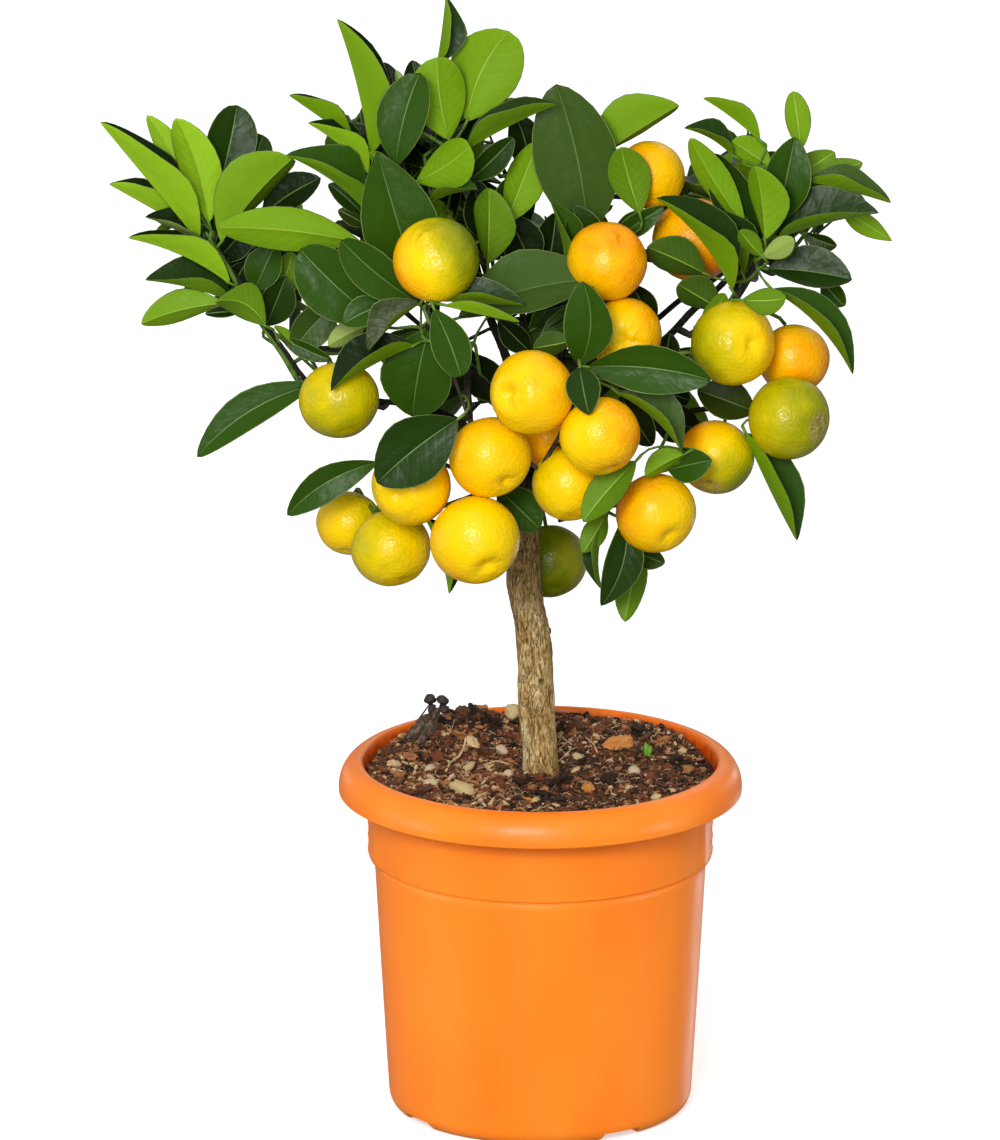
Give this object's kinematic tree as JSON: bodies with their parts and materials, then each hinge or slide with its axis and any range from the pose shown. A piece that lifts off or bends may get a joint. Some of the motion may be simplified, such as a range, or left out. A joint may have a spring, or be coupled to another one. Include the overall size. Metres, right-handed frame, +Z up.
{
  "type": "potted calamondin orange tree",
  "caption": "Small potted citrus tree: bare trunk, open leafy crown with small orange fruit, thick-rimmed tapered plastic pot filled with compost.",
  "frame": {"origin": "centre of the pot's flat underside, where it stands", "axes": "+Z up along the pot's axis; the side of the crown that faces the viewer is -Y, and +X is to the viewer's right"},
  "size_m": [0.3771, 0.2797, 0.5401],
  "materials": {
    "pot": "satin",
    "compost": "matte",
    "bark": "matte",
    "young_bark": "matte",
    "green_stem": "satin",
    "foliage": "satin"
  },
  "bodies": {
    "root": {"pot": "pot", "compost": "compost", "trunk": "bark", "bough_top_left": "young_bark", "bough_right_shoot": "young_bark", "bough_top_middle": "young_bark", "bough_left_low": "young_bark", "bough_middle_left": "young_bark", "bough_middle_front": "young_bark", "bough_right_low": "young_bark", "bough_back_left": "young_bark", "bough_back_right": "young_bark", "bough_back_top": "young_bark", "bough_low_left": "young_bark", "bough_low_right": "young_bark", "bough_back_low": "young_bark", "riser_left_shoot": "green_stem", "leaves_left_shoot": "foliage", "leaves_left_low": "foliage", "leaves_top_left": "foliage", "leaves_top_middle": "foliage", "leaves_right_shoot": "foliage", "leaves_middle_left": "foliage", "leaves_middle_front": "foliage", "leaves_low_left": "foliage", "leaves_low_right": "foliage", "leaves_right_low": "foliage", "leaves_back_left": "foliage", "leaves_back_top": "foliage", "leaves_back_right": "foliage", "leaves_back_low": "foliage"}
  },
  "joints": []
}
